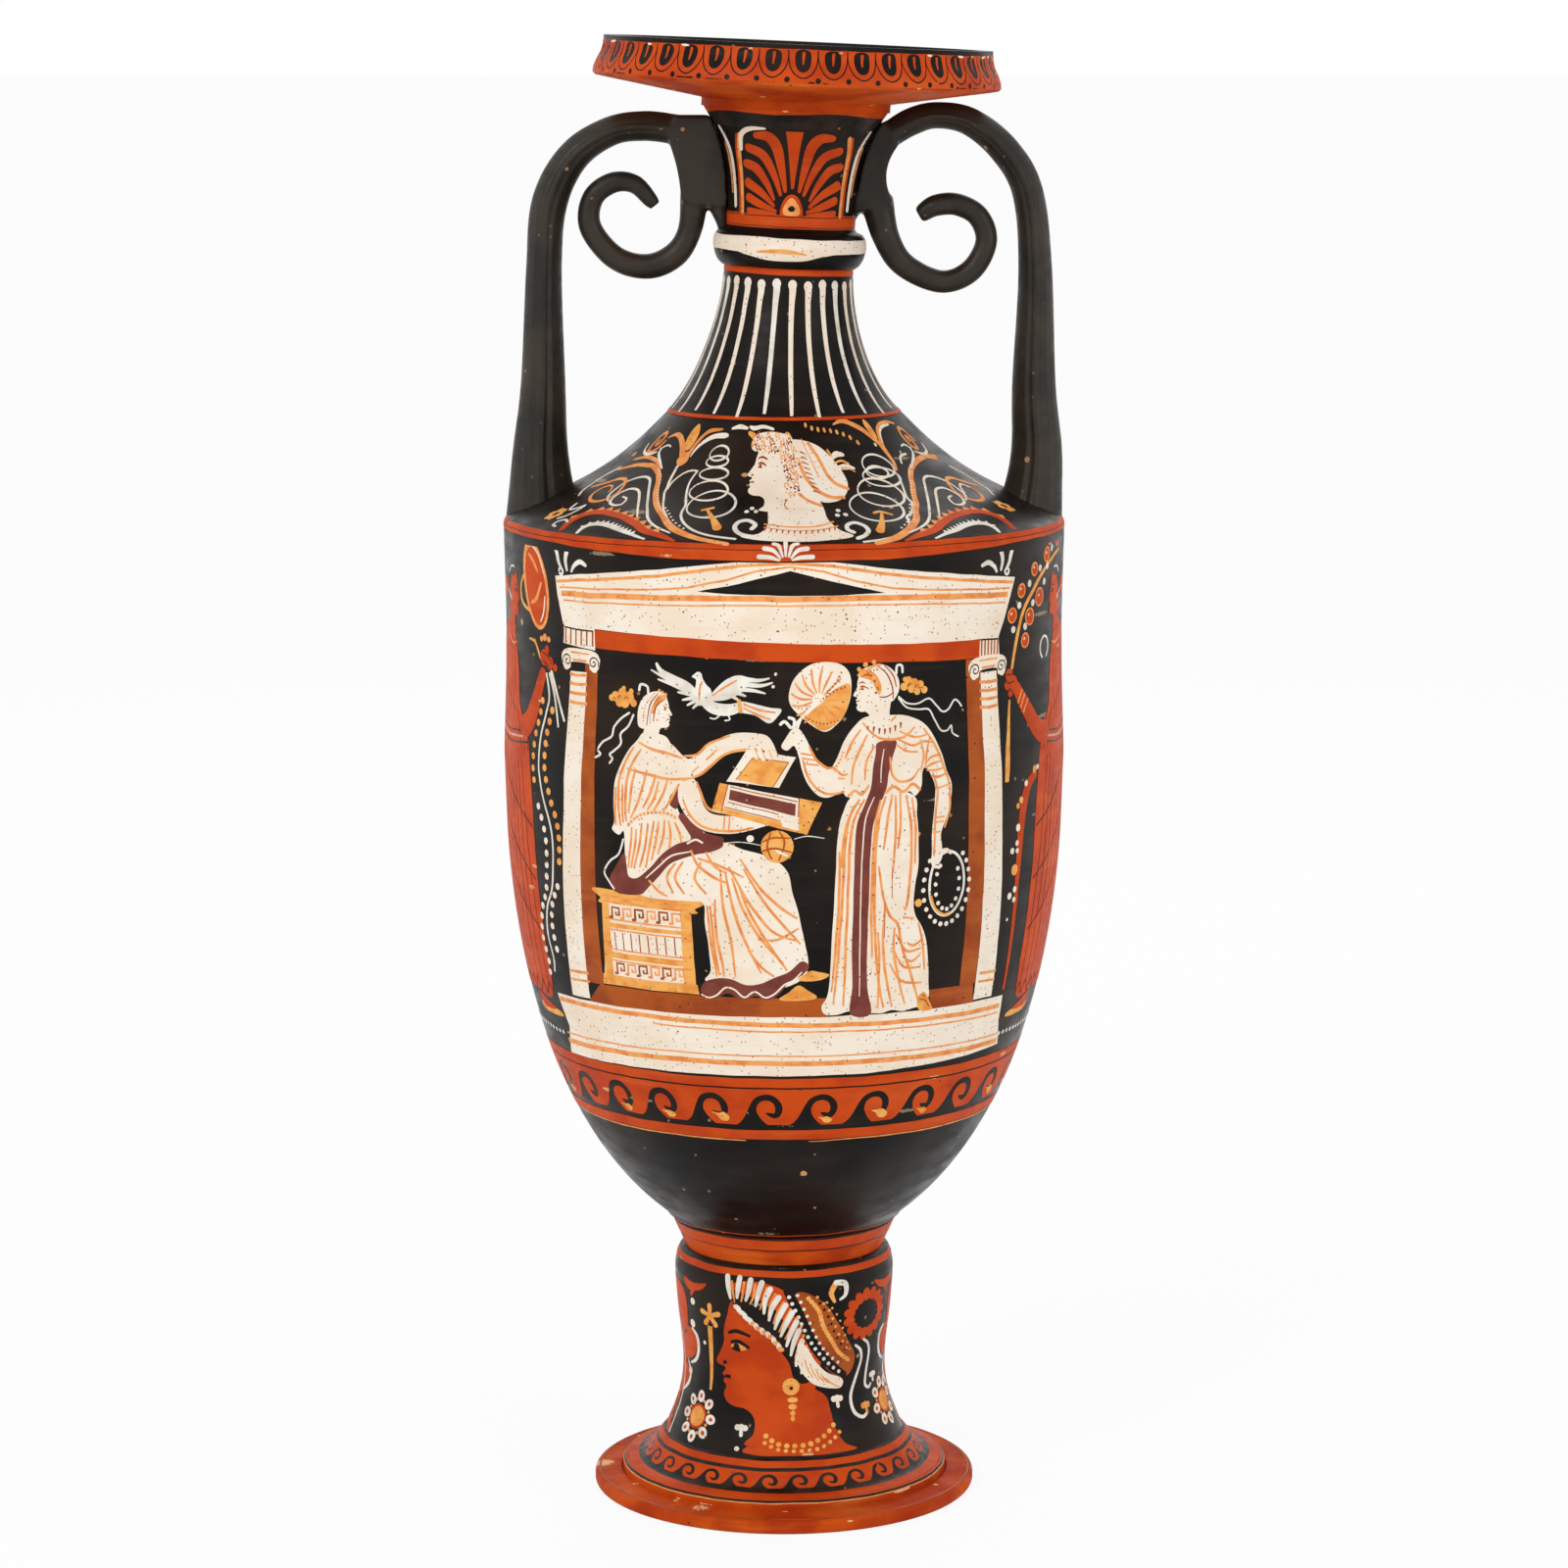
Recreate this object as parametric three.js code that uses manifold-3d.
// Large red-figure neck amphora on a tall foot, with scrolled handles of unlike curl.
// Lengths are in millimetres and +Z is up. The origin is the middle of the ring the foot stands on,
// and the painted front faces -Y. The sections are thrown one by one and luted together with slip.
import * as THREE from "three";
import { mergeVertices } from "three/addons/utils/BufferGeometryUtils.js";
import Module from "manifold-3d";

const wasm = await Module();
wasm.setup();

// Joints between sections
const gap = 0.3; // slip line between two fired sections
const lap = 5; // depth of a lapped joint
const overrun = 12; // how far a cutting shape runs past what it cuts

// Facets round the axis
const wideFacets = 44;
const slimFacets = 36;

const foot = {
  radius: 119.4,
  height: 35,
  discHeight: 9,
  edgeRound: 3,
  crown: 0.8, // rise of the disc's top from its edge to the groove
  grooveRadius: 103,
  grooveDepth: 1.2,
  stepRadius: 101.6,
  stepHeight: 16.6,
  stepRound: 2.6,
  bandRadius: 89.5, // lower edge of the sloping band
  bandFoot: 18.6,
  bandTopRadius: 79.6,
  bandTop: 29.6,
  topRadius: 74.4,
  standInner: 97, // inside edge of the ring it stands on
  hollowRadius: 84, // hollow just above that ring
  hollowRise: 7,
};

const stem = {
  height: 119.4,
  waistRadius: 63.3,
  waistHeight: 45, // height of the waist above the stem's lower edge
  collarRadius: 68.5,
  collarHeight: 104, // height at which the collar is widest
  topRadius: 62.3,
  wall: 10.5,
  flareShares: [0.37, 0.25], // handle at the foot, of the waist's inset and height
  waistShares: [0.5, 0.25], // handles under and over the waist
  swellShares: [0.25, 0.5], // handle under the collar, of its swell and its height over the waist
};

const pedestal = { height: 18.6, topRadius: 70, bore: 42 };

const bowl = {
  height: 296,
  footRadius: 68.5, // where the wall springs from the pedestal
  radius: 173,
  wall: 9,
  floor: 11,
  lowHandleShares: [0.158, 0.046], // first handle of the wall's curve, of its width and its height
  fullShare: 0.772, // height of the curve's second handle below the rim
};

const belly = {
  height: 134,
  waistInset: 1.903, // how far the waist is drawn in from the bowl's rim
  waistPlaceShare: 0.5,
  topInset: 0.7, // how far the top is drawn in
  wall: 8.5,
};

const shoulder = {
  height: 74,
  edgeHeight: 9.3,
  edgeRound: 2.5,
  wall: 8,
  outShares: [0.288, 0.24], // handle at the outer edge, of the curve's run and rise
  inShares: [0.43, 0.7], // handle at the neck
};

const neck = {
  height: 88,
  baseRadius: 71.6,
  radius: 39.2,
  wall: 7.5,
  lowShares: [0.515, 0.17],
  highShare: 0.375,
};

const ring = {
  height: 24.6,
  radius: 46.6,
  widestShare: 0.58,
  hollowShare: 0.22, // hollow of its upper side, of its overhang
  wall: 7.5,
};

const throat = {
  height: 70.8,
  radius: 39.1,
  topRadius: 56,
  straightShare: 0.5,
  flareShares: [0.32, 0.78],
  wall: 7.5,
};

const mouth = {
  collarRadius: 57.2,
  collarHeight: 6.5,
  coneRadius: 66,
  coneTopRadius: 95,
  coneHeight: 9,
  lipRadius: 123.8,
  lipRound: 1.8,
  lipHeight: 17.5, // moulded face of the lip, below the rim fillet
  rimRadius: 118.1,
  rimHeight: 6.4,
  rimWidth: 7.5,
  swellShares: [0, 0.38], // ogee of the lip, of its inset and its height
  hollowShares: [0.9, 0.74],
  dishRise: 6.5, // thickness of the dish over the underside
  dishRadius: 102,
};

// The throat, ring and mouth were luted on a little askew
const lean = { degrees: 2.5, startShare: 0, endShare: 0.5 };

// Handles. Routes run in the upright plane through the axis. Their shares go outwards from the throat
// to the belly, and upwards from the shoulder's edge to the mouth's collar.
const handleFacets = 12;
const rodFacets = 10;
const leftHandle = {
  side: -1,
  steps: 22,
  strapRouteShares: [
    [0.811, -0.034], [0.82, 0.059], [0.823, 0.169], [0.809, 0.327], [0.801, 0.61],
    [0.773, 0.772], [0.664, 0.884], [0.496, 0.945], [0.339, 0.958], [0.22, 0.95],
  ],
  strapWidthShares: [2.3, 1.93, 1.6, 1.3, 1.04, 1.04, 0.94, 0.85, 0.86, 0.88],
  strapDepthShares: [1.75, 1.5, 1.33, 1.15, 1, 0.95, 0.88, 0.8, 0.72, 0.68],
  voluteRouteShares: [
    [0.116, 0.768], [0.137, 0.703], [0.205, 0.644], [0.328, 0.616], [0.475, 0.637],
    [0.588, 0.711], [0.577, 0.782], [0.487, 0.82], [0.388, 0.817], [0.294, 0.766],
  ],
  voluteWidthShares: [1.01, 0.93, 0.96, 0.96, 0.91, 0.86, 0.83, 0.8, 0.72, 0.41],
  lugHollow: 3, // how far the lug's outer edge is drawn in towards the throat
};
const rightHandle = {
  side: 1,
  steps: 24,
  strapRouteShares: [
    [0.818, -0.034], [0.849, 0.059], [0.865, 0.169], [0.85, 0.327], [0.852, 0.61], [0.815, 0.797],
    [0.708, 0.9], [0.552, 0.968], [0.399, 0.984], [0.283, 0.968], [0.201, 0.942],
  ],
  strapWidthShares: [2.18, 1.73, 1.48, 1.27, 0.98, 0.9, 0.88, 0.81, 0.76, 0.8, 0.78],
  strapDepthShares: [1.75, 1.5, 1.33, 1.15, 1, 0.92, 0.88, 0.8, 0.75, 0.7, 0.7],
  voluteRouteShares: [
    [0.131, 0.76], [0.171, 0.689], [0.253, 0.62], [0.421, 0.579], [0.557, 0.605],
    [0.628, 0.675], [0.593, 0.737], [0.496, 0.767], [0.399, 0.765], [0.323, 0.743],
  ],
  voluteWidthShares: [1.3, 1.05, 0.93, 0.87, 0.87, 0.84, 0.84, 0.85, 0.83, 0.57],
  lugHollow: 12,
};
const strap = { width: 20, depth: 27, ribShare: 0.055 };
const volute = { thickness: 16, flatShare: 0.95 };
const lug = { thickness: 18 };

const clay = {
  red: new THREE.MeshStandardMaterial({ color: 0xb8492a, roughness: 0.55, metalness: 0 }),
  black: new THREE.MeshStandardMaterial({ color: 0x25211d, roughness: 0.35, metalness: 0 }),
  cream: new THREE.MeshStandardMaterial({ color: 0xe8dcc4, roughness: 0.6, metalness: 0 }),
};

// Height of each section's lower edge
const stemBase = foot.height;
const pedestalBase = stemBase + stem.height;
const bowlBase = pedestalBase + pedestal.height;
const bellyBase = bowlBase + bowl.height;
const shoulderBase = bellyBase + belly.height;
const shoulderEdge = shoulderBase + shoulder.edgeHeight;
const neckBase = shoulderBase + shoulder.height;
const ringBase = neckBase + neck.height;
const throatBase = ringBase + ring.height;
const mouthBase = throatBase + throat.height;

// The belly rises flush from the bowl
const bellyWaist = bowl.radius - belly.waistInset;
const bellyTop = bowl.radius - belly.topInset;

const at = (radius, height) => new THREE.Vector2(radius, height);

// A cubic curve between two points of a profile, without its first point.
function sweep(start, startHandle, endHandle, end, steps) {
  const curve = new THREE.CubicBezierCurve(start, startHandle, endHandle, end);
  return curve.getPoints(steps).slice(1);
}

// A quarter of an ellipse from start to end, leaving start along the given axis.
function quarter(start, end, upFirst, steps) {
  const points = [];
  for (let i = 1; i <= steps; i++) {
    const turn = (i / steps) * (Math.PI / 2);
    const fast = Math.sin(turn);
    const slow = 1 - Math.cos(turn);
    points.push(
      at(
        start.x + (end.x - start.x) * (upFirst ? slow : fast),
        start.y + (end.y - start.y) * (upFirst ? fast : slow),
      ),
    );
  }
  return points;
}

// The same line moved sideways: to the left of its direction for a positive distance.
function offset(points, distance) {
  return points.map((point, i) => {
    const before = points[Math.max(i - 1, 0)];
    const after = points[Math.min(i + 1, points.length - 1)];
    const along = after.clone().sub(before).normalize();
    return at(point.x - along.y * distance, point.y + along.x * distance);
  });
}

// The axis runs straight up to the neck, bends over the neck's height and goes on straight.
function leaned(point) {
  const full = THREE.MathUtils.degToRad(lean.degrees);
  const start = neckBase + neck.height * lean.startShare;
  const end = neckBase + neck.height * lean.endShare;
  const bend = end - start;
  const into = Math.min(Math.max(point.z - start, 0), bend);
  const beyond = Math.max(point.z - end, 0);
  const angle = (full * into) / bend;
  const drift = (bend / full) * (1 - Math.cos(angle)) + beyond * Math.sin(full);
  const rise = (bend / full) * Math.sin(angle) + beyond * Math.cos(full);
  return new THREE.Vector3(
    drift + point.x * Math.cos(angle),
    point.y,
    Math.min(point.z, start) + rise - point.x * Math.sin(angle),
  );
}

function lean3d(geometry) {
  const places = geometry.attributes.position;
  for (let i = 0; i < places.count; i++) {
    const moved = leaned(new THREE.Vector3().fromBufferAttribute(places, i));
    places.setXYZ(i, moved.x, moved.y, moved.z);
  }
  return geometry;
}

// A thrown section: its profile, which closes on itself or on the axis, turned round the axis.
function thrown(profile, facets) {
  return lean3d(new THREE.LatheGeometry(profile, facets).rotateX(Math.PI / 2));
}

function closed(profile) {
  return [...profile, profile[0].clone()];
}

function solidOf(geometry) {
  const bare = new THREE.BufferGeometry();
  bare.setAttribute("position", geometry.getAttribute("position"));
  if (geometry.index) bare.setIndex(geometry.index);
  const merged = mergeVertices(bare);
  return new wasm.Manifold(
    new wasm.Mesh({
      numProp: 3,
      vertProperties: new Float32Array(merged.attributes.position.array),
      triVerts: new Uint32Array(merged.index.array),
    }),
  );
}

function geometryOf(solid) {
  const mesh = solid.getMesh();
  const geometry = new THREE.BufferGeometry();
  geometry.setAttribute("position", new THREE.BufferAttribute(mesh.vertProperties, mesh.numProp));
  geometry.setIndex(new THREE.BufferAttribute(mesh.triVerts, 1));
  return geometry;
}

function piece(name, geometry, material) {
  const mesh = new THREE.Mesh(geometry, material);
  mesh.name = name;
  return mesh;
}

// Foot: a disc with a rounded edge, a grooved step, a sloping band and the flare to the stem.
function footGeometry() {
  const edge = foot.edgeRound;
  const grooveTop = foot.discHeight + foot.crown;
  const outer = [
    at(foot.standInner, 0),
    at(foot.radius - edge, 0),
    ...quarter(at(foot.radius - edge, 0), at(foot.radius, edge), false, 2),
    at(foot.radius, foot.discHeight - edge),
    ...quarter(at(foot.radius, foot.discHeight - edge), at(foot.radius - edge, foot.discHeight), true, 2),
    at(foot.grooveRadius, grooveTop),
    at((foot.grooveRadius + foot.stepRadius) / 2, grooveTop - foot.grooveDepth),
    at(foot.stepRadius, grooveTop),
    at(foot.stepRadius, foot.stepHeight - foot.stepRound),
    at(foot.stepRadius - foot.stepRound, foot.stepHeight),
    at(foot.bandRadius, foot.bandFoot),
    at(foot.bandTopRadius, foot.bandTop),
    at(foot.topRadius, foot.height),
  ];
  const seat = foot.topRadius - stem.wall / 2;
  const bore = stemBore();
  const inner = [
    at(seat, foot.height),
    at(seat, foot.height - lap),
    at(bore, foot.height - lap),
    at(bore, foot.bandFoot),
    at(foot.hollowRadius, foot.hollowRise),
  ];
  return thrown(closed([...outer, ...inner]), wideFacets);
}

function stemBore() {
  return stem.waistRadius - stem.wall;
}

// Stem: waisted tube that swells to a rounded collar, with a spigot in the foot.
function stemGeometry() {
  const top = stemBase + stem.height;
  const base = at(foot.topRadius, stemBase + gap);
  const waist = at(stem.waistRadius, stemBase + stem.waistHeight);
  const collar = at(stem.collarRadius, stemBase + stem.collarHeight);
  const lower = stem.waistHeight;
  const upper = stem.collarHeight - stem.waistHeight;
  const [flareIn, flareUp] = stem.flareShares;
  const [waistDown, waistUp] = stem.waistShares;
  const [swellOut, swellDown] = stem.swellShares;
  const flare = at(base.x - (base.x - waist.x) * flareIn, base.y + lower * flareUp);
  const swell = at(collar.x - (collar.x - waist.x) * swellOut, collar.y - upper * swellDown);
  const outer = [
    base,
    ...sweep(base, flare, at(waist.x, waist.y - lower * waistDown), waist, 4),
    ...sweep(waist, at(waist.x, waist.y + upper * waistUp), swell, collar, 3),
    ...quarter(collar, at(stem.topRadius, top), true, 3),
  ];
  const bore = stemBore();
  const seat = foot.topRadius - stem.wall / 2 - gap;
  const rebate = pedestalSpigot() + gap;
  const inner = [
    at(rebate, top),
    at(rebate, top - lap),
    at(bore, top - lap),
    at(bore, stemBase - lap + gap),
    at(seat, stemBase - lap + gap),
    at(seat, stemBase + gap),
  ];
  return thrown(closed([...outer, ...inner]), slimFacets);
}

function pedestalSpigot() {
  return (stem.topRadius + stemBore()) / 2;
}

// Pedestal: the conical collar between the stem and the bowl, with a spigot in the stem.
function pedestalGeometry() {
  const top = pedestalBase + pedestal.height;
  const profile = [
    at(pedestal.bore, pedestalBase - lap + gap),
    at(pedestalSpigot(), pedestalBase - lap + gap),
    at(pedestalSpigot(), pedestalBase + gap),
    at(stem.topRadius - gap, pedestalBase + gap),
    at(pedestal.topRadius, top),
    at(pedestal.bore, top),
  ];
  return thrown(closed(profile), slimFacets);
}

function bowlOutline(steps) {
  const start = at(bowl.footRadius, bowlBase + gap);
  const end = at(bowl.radius, bellyBase);
  const run = end.x - start.x;
  const rise = end.y - start.y;
  const [out, up] = bowl.lowHandleShares;
  const low = at(start.x + run * out, start.y + rise * up);
  return [start, ...sweep(start, low, at(end.x, end.y - rise * bowl.fullShare), end, steps)];
}

// Bowl: the lower body, closed by its floor.
function bowlGeometry() {
  const outer = bowlOutline(9);
  const inner = offset(outer, bowl.wall)
    .slice(1)
    .filter((point) => point.y > bowlBase + bowl.floor * 2)
    .reverse();
  inner[0].set(bowl.radius - bowl.wall, bellyBase);
  const seat = bowl.radius - bowl.wall / 2;
  const profile = [
    at(0, bowlBase + gap),
    ...outer,
    at(seat, bellyBase),
    at(seat, bellyBase - lap),
    at(bowl.radius - bowl.wall, bellyBase - lap),
    ...inner.slice(1),
    at(bowl.footRadius - bowl.wall, bowlBase + bowl.floor),
    at(0, bowlBase + bowl.floor),
  ];
  return thrown(profile, wideFacets);
}

// Belly: the near-cylindrical upper body, a little waisted.
function bellyGeometry() {
  const top = bellyBase + belly.height;
  const low = at(bowl.radius, bellyBase + gap);
  const waist = at(bellyWaist, bellyBase + belly.height * belly.waistPlaceShare);
  const high = at(bellyTop, top);
  const curve = new THREE.SplineCurve([low, waist, high]);
  const outer = curve.getPoints(5);
  const seat = bowl.radius - bowl.wall / 2 - gap;
  const rebate = bellyTop - belly.wall / 2;
  const inside = bellyWaist - belly.wall;
  const profile = [
    ...outer,
    at(rebate, top),
    at(rebate, top - lap),
    at(inside, top - lap),
    at(inside, bellyBase - lap + gap),
    at(seat, bellyBase - lap + gap),
    at(seat, bellyBase + gap),
  ];
  return thrown(closed(profile), wideFacets);
}

function shoulderCurve(steps) {
  const start = at(bellyTop - shoulder.edgeRound, shoulderEdge + shoulder.edgeRound / 2);
  const end = at(neck.baseRadius, neckBase);
  const run = start.x - end.x;
  const rise = end.y - start.y;
  const [runOut, riseOut] = shoulder.outShares;
  const [runIn, riseIn] = shoulder.inShares;
  const out = at(start.x - run * runOut, start.y + rise * riseOut);
  const into = at(end.x + run * runIn, end.y - rise * riseIn);
  return [start, ...sweep(start, out, into, end, steps)];
}

// Shoulder: the edge, then the slope that rises to the neck.
function shoulderGeometry() {
  const curve = shoulderCurve(7);
  const inner = offset(curve, shoulder.wall).slice(1).reverse();
  inner[0].set(neck.baseRadius - shoulder.wall, neckBase);
  const seat = bellyTop - belly.wall / 2 - gap;
  const inside = bellyWaist - belly.wall;
  const profile = [
    at(seat, shoulderBase + gap),
    at(bellyTop, shoulderBase + gap),
    at(bellyTop, shoulderEdge - shoulder.edgeRound),
    ...curve,
    ...inner.slice(0, -1),
    at(inside, shoulderBase - lap + gap),
    at(seat, shoulderBase - lap + gap),
  ];
  return thrown(closed(profile), wideFacets);
}

function neckCurve(steps) {
  const start = at(neck.baseRadius, neckBase + gap);
  const end = at(neck.radius, ringBase);
  const run = start.x - end.x;
  const rise = end.y - start.y;
  const [runLow, riseLow] = neck.lowShares;
  const low = at(start.x - run * runLow, start.y + rise * riseLow);
  return [start, ...sweep(start, low, at(end.x, end.y - rise * neck.highShare), end, steps)];
}

// Neck: the trumpet above the shoulder, under the ring.
function neckGeometry() {
  const outer = neckCurve(7);
  const inner = offset(outer, neck.wall).reverse();
  inner[0].set(neck.radius - neck.wall, ringBase);
  inner[inner.length - 1].set(neck.baseRadius - shoulder.wall, neckBase + gap);
  const sparse = inner.filter((_, i) => i % 2 === 0 || i === inner.length - 1);
  return thrown(closed([...outer, ...sparse]), slimFacets);
}

// Ring: a moulding with a rounded nose and a hollow upper side.
function ringGeometry() {
  const low = ringBase + gap;
  const top = ringBase + ring.height;
  const nose = at(ring.radius, low + (top - low) * ring.widestShare);
  const bore = neck.radius - ring.wall;
  const overhang = ring.radius - neck.radius;
  const crease = at(throat.radius + overhang * ring.hollowShare, top - (top - nose.y) * ring.hollowShare);
  const outer = [
    at(neck.radius, low),
    ...quarter(at(neck.radius, low), nose, false, 4),
    ...quarter(nose, crease, true, 3),
    at(throat.radius, top),
  ];
  return thrown(closed([...outer, at(bore, top), at(bore, low)]), slimFacets);
}

function throatCurve(steps) {
  const start = at(throat.radius, throatBase + gap);
  const end = at(throat.topRadius, mouthBase);
  const run = end.x - start.x;
  const rise = end.y - start.y;
  const [flareOut, flareUp] = throat.flareShares;
  const low = at(start.x, start.y + rise * throat.straightShare);
  return [start, ...sweep(start, low, at(start.x + run * flareOut, start.y + rise * flareUp), end, steps)];
}

// Throat: the upper neck between the ring and the mouth, flared at its top.
function throatGeometry() {
  const outer = throatCurve(6);
  const bore = throat.radius - throat.wall;
  const rebate = throat.topRadius - throat.wall / 2;
  const profile = [
    ...outer,
    at(rebate, mouthBase),
    at(rebate, mouthBase - lap),
    at(bore + throat.wall / 2, mouthBase - lap * 2),
    at(bore, mouthBase - throat.height / 2),
    at(bore, throatBase + gap),
  ];
  return thrown(closed(profile), slimFacets);
}

// Mouth: a wide shallow dish on a collar, with a moulded lip and a fillet at the rim.
function mouthGeometry() {
  const base = mouthBase + gap;
  const coneBase = base + mouth.collarHeight;
  const under = coneBase + mouth.coneHeight;
  const fillet = under + mouth.lipHeight;
  const rim = fillet + mouth.rimHeight;
  const inset = mouth.lipRadius - mouth.rimRadius;
  const low = at(mouth.lipRadius, under + mouth.lipRound);
  const high = at(mouth.rimRadius, fillet);
  const height = high.y - low.y;
  const [swellIn, swellUp] = mouth.swellShares;
  const [hollowIn, hollowUp] = mouth.hollowShares;
  const swell = at(low.x - inset * swellIn, low.y + height * swellUp);
  const hollow = at(low.x - inset * hollowIn, low.y + height * hollowUp);
  const rimInner = mouth.rimRadius - mouth.rimWidth;
  const rebate = throat.topRadius - throat.wall / 2 - gap;
  const bore = throat.radius - throat.wall;
  const profile = [
    at(rebate, base - lap),
    at(rebate, base),
    at(mouth.collarRadius, base),
    at(mouth.collarRadius, coneBase - mouth.lipRound),
    at(mouth.coneRadius, coneBase),
    at(mouth.coneTopRadius, under),
    at(mouth.lipRadius - mouth.lipRound, under),
    low,
    ...sweep(low, swell, hollow, high, 5),
    at(mouth.rimRadius, rim),
    at(rimInner, rim),
    at(mouth.dishRadius, under + mouth.dishRise),
    at(mouth.coneTopRadius, under + mouth.dishRise),
    at(bore + throat.wall, coneBase),
    at(bore + throat.wall / 2, base - lap),
  ];
  return thrown(closed(profile), wideFacets);
}

// A place on a handle's route, from its shares.
function onRoute(handle, [outShare, upShare]) {
  const out = throat.radius + (bowl.radius - throat.radius) * outShare;
  const up = shoulderEdge + (mouthBase - shoulderEdge) * upShare;
  return new THREE.Vector3(handle.side * out, 0, up);
}

// A value that runs smoothly along a route from a list given at its points.
function shareAlong(list, t) {
  const line = new THREE.SplineCurve(list.map((value, i) => at(i, value)));
  return line.getPoint(t).y;
}

// A bar along a route: its section, across the plane and in it, follows the width and the depth.
function bar(handle, routeShares, section, width, depth, facets) {
  const route = new THREE.CatmullRomCurve3(routeShares.map((shares) => onRoute(handle, shares)));
  const steps = handle.steps;
  const places = [];
  const faces = [];
  for (let i = 0; i <= steps; i++) {
    const t = i / steps;
    const middle = route.getPoint(t);
    const along = route.getTangent(t);
    const across = new THREE.Vector3(along.z, 0, -along.x);
    for (let k = 0; k < facets; k++) {
      const turn = (k / facets) * 2 * Math.PI;
      const swell = section(turn);
      const x = (width(t) / 2) * Math.cos(turn) * swell;
      const y = (depth(t) / 2) * Math.sin(turn) * swell;
      places.push(middle.x + across.x * x, y, middle.z + across.z * x);
    }
  }
  for (let i = 0; i < steps; i++) {
    for (let k = 0; k < facets; k++) {
      const a = i * facets + k;
      const b = i * facets + ((k + 1) % facets);
      faces.push(a, b, b + facets, a, b + facets, a + facets);
    }
  }
  for (let k = 1; k < facets - 1; k++) {
    const last = steps * facets;
    faces.push(0, k + 1, k, last, last + k, last + k + 1);
  }
  const geometry = new THREE.BufferGeometry();
  geometry.setAttribute("position", new THREE.Float32BufferAttribute(places, 3));
  geometry.setIndex(faces);
  const solid = solidOf(geometry);
  if (solid.volume() > 0) return solid;
  return solidOf(geometry.setIndex(faces.reverse()));
}

const ribbed = (turn) => 1 + strap.ribShare * Math.cos(turn * 4);
const round = () => 1;

function strapSolid(handle) {
  const width = (t) => strap.width * shareAlong(handle.strapWidthShares, t);
  const depth = (t) => strap.depth * shareAlong(handle.strapDepthShares, t);
  return bar(handle, handle.strapRouteShares, ribbed, width, depth, handleFacets);
}

function voluteSolid(handle) {
  const width = (t) => volute.thickness * shareAlong(handle.voluteWidthShares, t);
  const depth = (t) => width(t) * volute.flatShare;
  return bar(handle, handle.voluteRouteShares, round, width, depth, rodFacets);
}

// The solid that a seat is cut with: an outer profile, a slip line larger and filled to the axis,
// on a skirt that runs on below it.
function seatCutter(outline, facets, skirt) {
  const grown = offset(outline, -gap);
  const first = grown[0];
  const last = grown[grown.length - 1];
  const under = first.y - overrun;
  const base = [at(0, under), at(first.x + skirt, under), at(first.x + skirt, first.y)];
  return solidOf(thrown([...base, ...grown, at(0, last.y)], facets));
}

// End of a route: its middle, its direction and half the bar's width there.
function endOf(handle, routeShares, widthShares, width, atStart) {
  const route = new THREE.CatmullRomCurve3(routeShares.map((shares) => onRoute(handle, shares)));
  const along = route.getTangent(atStart ? 0 : 1);
  const middle = route.getPoint(atStart ? 0 : 1);
  const share = widthShares[atStart ? 0 : widthShares.length - 1];
  return { middle, along, half: (width * share) / 2 };
}

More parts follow.
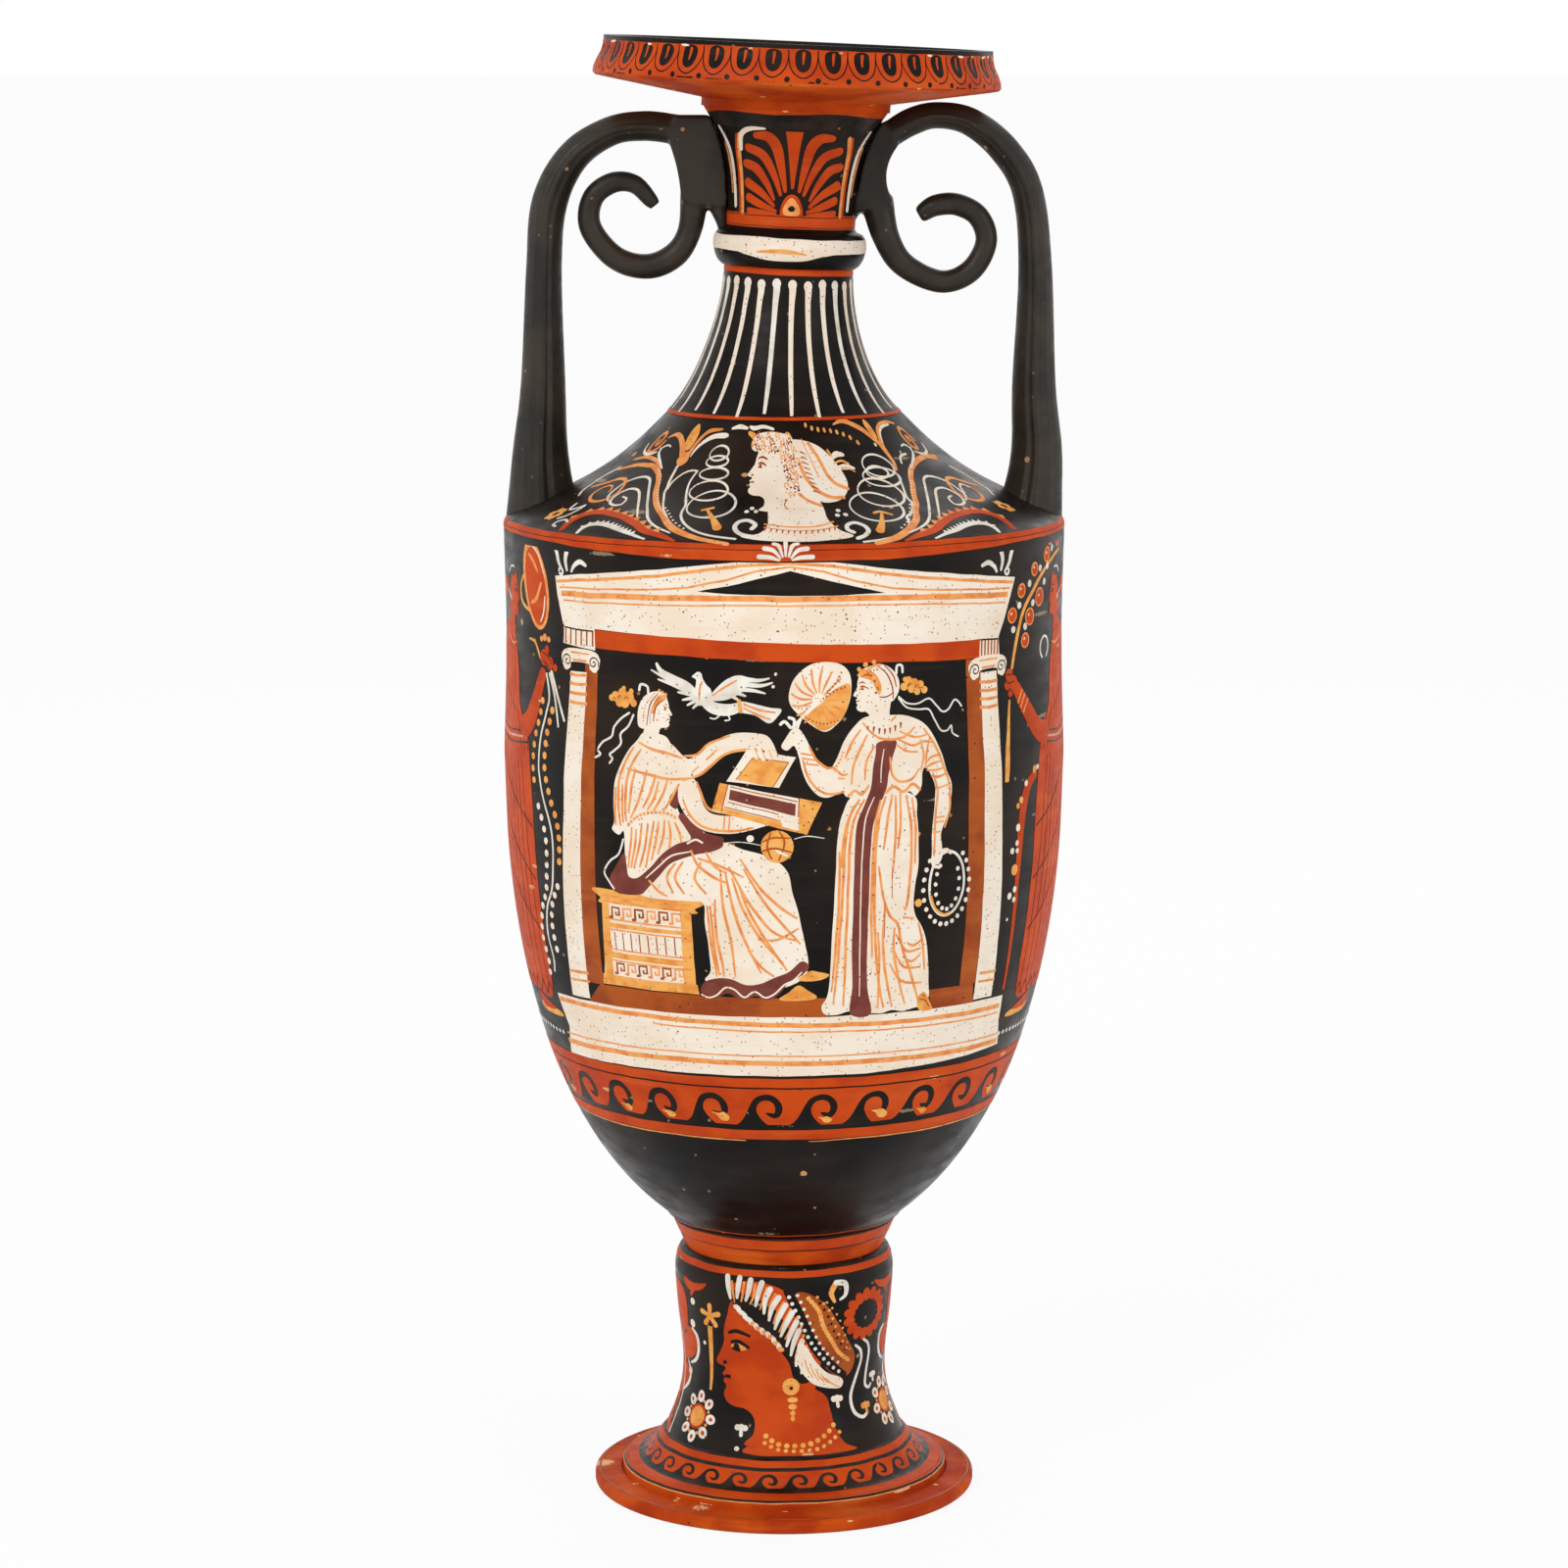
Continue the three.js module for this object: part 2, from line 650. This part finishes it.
// Lug: the plate of clay that fills the corner between the strap's end, the volute's root and the throat.
function lugSolid(handle) {
  const top = endOf(handle, handle.strapRouteShares, handle.strapWidthShares, strap.width, false);
  const root = endOf(handle, handle.voluteRouteShares, handle.voluteWidthShares, volute.thickness, true);
  const corner = (end, away, back) =>
    at(
      end.middle.x + end.along.x * back + end.along.z * away * end.half * handle.side,
      end.middle.z + end.along.z * back - end.along.x * away * end.half * handle.side,
    );
  const upper = corner(top, 1, gap);
  const under = corner(top, -1, gap);
  const outside = corner(root, -1, -gap);
  const inside = corner(root, 1, -gap);
  const [outer, inner] =
    Math.abs(outside.x) > Math.abs(inside.x) ? [outside, inside] : [inside, outside];
  const [high, low] = upper.y > under.y ? [upper, under] : [under, upper];
  const bore = handle.side * (throat.radius - throat.wall);
  const outline = new THREE.Shape();
  outline.moveTo(high.x, high.y);
  outline.lineTo(bore, high.y);
  outline.lineTo(bore, inner.y);
  outline.lineTo(inner.x, inner.y);
  outline.lineTo(outer.x, outer.y);
  const middle = (outer.y + low.y) / 2;
  const bulge = (Math.abs(outer.x) + Math.abs(low.x)) / 2 - handle.lugHollow;
  outline.quadraticCurveTo(handle.side * bulge, middle, low.x, low.y);
  outline.closePath();
  const plate = new THREE.ExtrudeGeometry(outline, {
    depth: lug.thickness,
    bevelEnabled: false,
    curveSegments: 6,
  });
  plate.rotateX(Math.PI / 2).translate(0, lug.thickness / 2, 0);
  const collar = at(mouth.collarRadius, mouthBase + gap);
  const throatSeat = seatCutter(
    [...throatCurve(6), collar, at(mouth.collarRadius, collar.y + mouth.collarHeight + overrun)],
    slimFacets,
    gap,
  );
  return solidOf(plate).subtract(throatSeat);
}

// The strap's root follows the shoulder's slope and edge.
function rootedStrap(handle) {
  const edge = at(bellyTop, shoulderEdge - shoulder.edgeRound);
  return strapSolid(handle).subtract(seatCutter([edge, ...shoulderCurve(7)], wideFacets, overrun));
}

const vase = new THREE.Group();
vase.add(
  piece("foot", footGeometry(), clay.red),
  piece("stem", stemGeometry(), clay.black),
  piece("pedestal", pedestalGeometry(), clay.red),
  piece("body_bowl", bowlGeometry(), clay.black),
  piece("body_belly", bellyGeometry(), clay.black),
  piece("shoulder", shoulderGeometry(), clay.black),
  piece("neck", neckGeometry(), clay.black),
  piece("neck_ring", ringGeometry(), clay.cream),
  piece("throat", throatGeometry(), clay.black),
  piece("mouth", mouthGeometry(), clay.red),
);

for (const [side, handle] of [["left", leftHandle], ["right", rightHandle]]) {
  const group = new THREE.Group();
  group.add(
    piece(side + "_handle_strap", geometryOf(rootedStrap(handle)), clay.black),
    piece(side + "_handle_lug", geometryOf(lugSolid(handle)), clay.black),
    piece(side + "_handle_volute", geometryOf(voluteSolid(handle)), clay.black),
  );
  vase.add(group);
}

export default vase;
